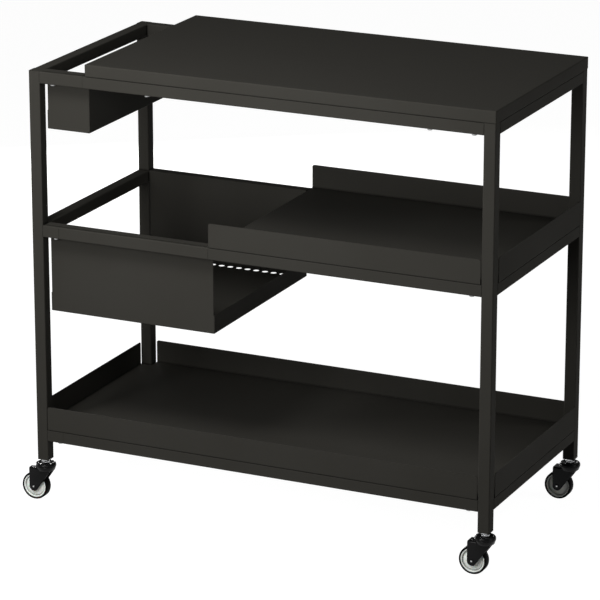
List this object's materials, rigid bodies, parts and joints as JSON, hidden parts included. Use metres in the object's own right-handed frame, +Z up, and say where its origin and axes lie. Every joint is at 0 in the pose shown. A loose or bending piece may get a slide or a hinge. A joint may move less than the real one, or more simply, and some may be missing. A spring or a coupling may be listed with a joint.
{
  "type": "utility cart",
  "caption": "Square-tube utility cart on swivel casters, with a folded sheet worktop, two trays, two hanging bins and a rail at the left end as its handle.",
  "frame": {"origin": "on the floor, under the middle of the outline with its wheels trailing to the left", "axes": "+X along the cart's length, from the handle end to the worktop's end; +Y from the front to the back; +Z up"},
  "size_m": [0.9596, 0.4596, 0.856],
  "materials": {
    "painted_steel": "fine matt powder coat, warm dark grey",
    "black_steel": "satin black",
    "zinc": "bright zinc plate",
    "hub_plastic": "light grey, slightly translucent moulding",
    "tyre": "smooth black"
  },
  "bodies": {
    "cart": {"leg_front_left": "painted_steel", "leg_back_left": "painted_steel", "leg_front_right": "painted_steel", "leg_back_right": "painted_steel", "left_top_cross_rail": "painted_steel", "left_middle_cross_rail": "painted_steel", "left_bottom_cross_rail": "painted_steel", "right_top_cross_rail": "painted_steel", "right_middle_cross_rail": "painted_steel", "right_bottom_cross_rail": "painted_steel", "front_top_rail": "painted_steel", "front_middle_rail": "painted_steel", "front_bottom_rail": "painted_steel", "back_top_rail": "painted_steel", "back_middle_rail": "painted_steel", "back_bottom_rail": "painted_steel", "rail_stubs": "painted_steel", "left_connectors": "black_steel", "right_connectors": "black_steel", "joint_screws": "zinc", "worktop_screws": "zinc", "worktop_nuts": "zinc", "worktop": "painted_steel", "worktop_stiffeners": "painted_steel", "middle_tray": "painted_steel", "bottom_tray": "painted_steel", "small_bin": "painted_steel", "large_bin": "painted_steel", "leg_inserts": "black_steel", "stem_nuts": "zinc", "swivel_balls": "zinc", "stem_front_left": "zinc", "swivel_cap_front_left": "black_steel", "stem_back_left": "zinc", "swivel_cap_back_left": "black_steel", "stem_front_right": "zinc", "swivel_cap_front_right": "black_steel", "stem_back_right": "zinc", "swivel_cap_back_right": "black_steel"},
    "swivel_front_left": {"fork_front_left": "black_steel", "axle_front_left": "black_steel"},
    "wheel_front_left": {"hub_front_left": "hub_plastic", "tyre_front_left": "tyre"},
    "swivel_back_left": {"fork_back_left": "black_steel", "axle_back_left": "black_steel"},
    "wheel_back_left": {"hub_back_left": "hub_plastic", "tyre_back_left": "tyre"},
    "swivel_front_right": {"fork_front_right": "black_steel", "axle_front_right": "black_steel"},
    "wheel_front_right": {"hub_front_right": "hub_plastic", "tyre_front_right": "tyre"},
    "swivel_back_right": {"fork_back_right": "black_steel", "axle_back_right": "black_steel"},
    "wheel_back_right": {"hub_back_right": "hub_plastic", "tyre_back_right": "tyre"}
  },
  "joints": [
    {"name": "swivel_turn_front_left", "type": "hinge", "parent": "cart", "child": "swivel_front_left", "pos_m": [-0.4323, -0.21025, 0.06], "axis": [0, 0, 1], "continuous": true},
    {"name": "wheel_spin_front_left", "type": "hinge", "parent": "swivel_front_left", "child": "wheel_front_left", "pos_m": [-0.4533, -0.21025, 0.0265], "axis": [0, 1, 0], "continuous": true},
    {"name": "swivel_turn_back_left", "type": "hinge", "parent": "cart", "child": "swivel_back_left", "pos_m": [-0.4323, 0.21025, 0.06], "axis": [0, 0, 1], "continuous": true},
    {"name": "wheel_spin_back_left", "type": "hinge", "parent": "swivel_back_left", "child": "wheel_back_left", "pos_m": [-0.4533, 0.21025, 0.0265], "axis": [0, 1, 0], "continuous": true},
    {"name": "swivel_turn_front_right", "type": "hinge", "parent": "cart", "child": "swivel_front_right", "pos_m": [0.4602, -0.21025, 0.06], "axis": [0, 0, 1], "continuous": true},
    {"name": "wheel_spin_front_right", "type": "hinge", "parent": "swivel_front_right", "child": "wheel_front_right", "pos_m": [0.4392, -0.21025, 0.0265], "axis": [0, 1, 0], "continuous": true},
    {"name": "swivel_turn_back_right", "type": "hinge", "parent": "cart", "child": "swivel_back_right", "pos_m": [0.4602, 0.21025, 0.06], "axis": [0, 0, 1], "continuous": true},
    {"name": "wheel_spin_back_right", "type": "hinge", "parent": "swivel_back_right", "child": "wheel_back_right", "pos_m": [0.4392, 0.21025, 0.0265], "axis": [0, 1, 0], "continuous": true}
  ]
}
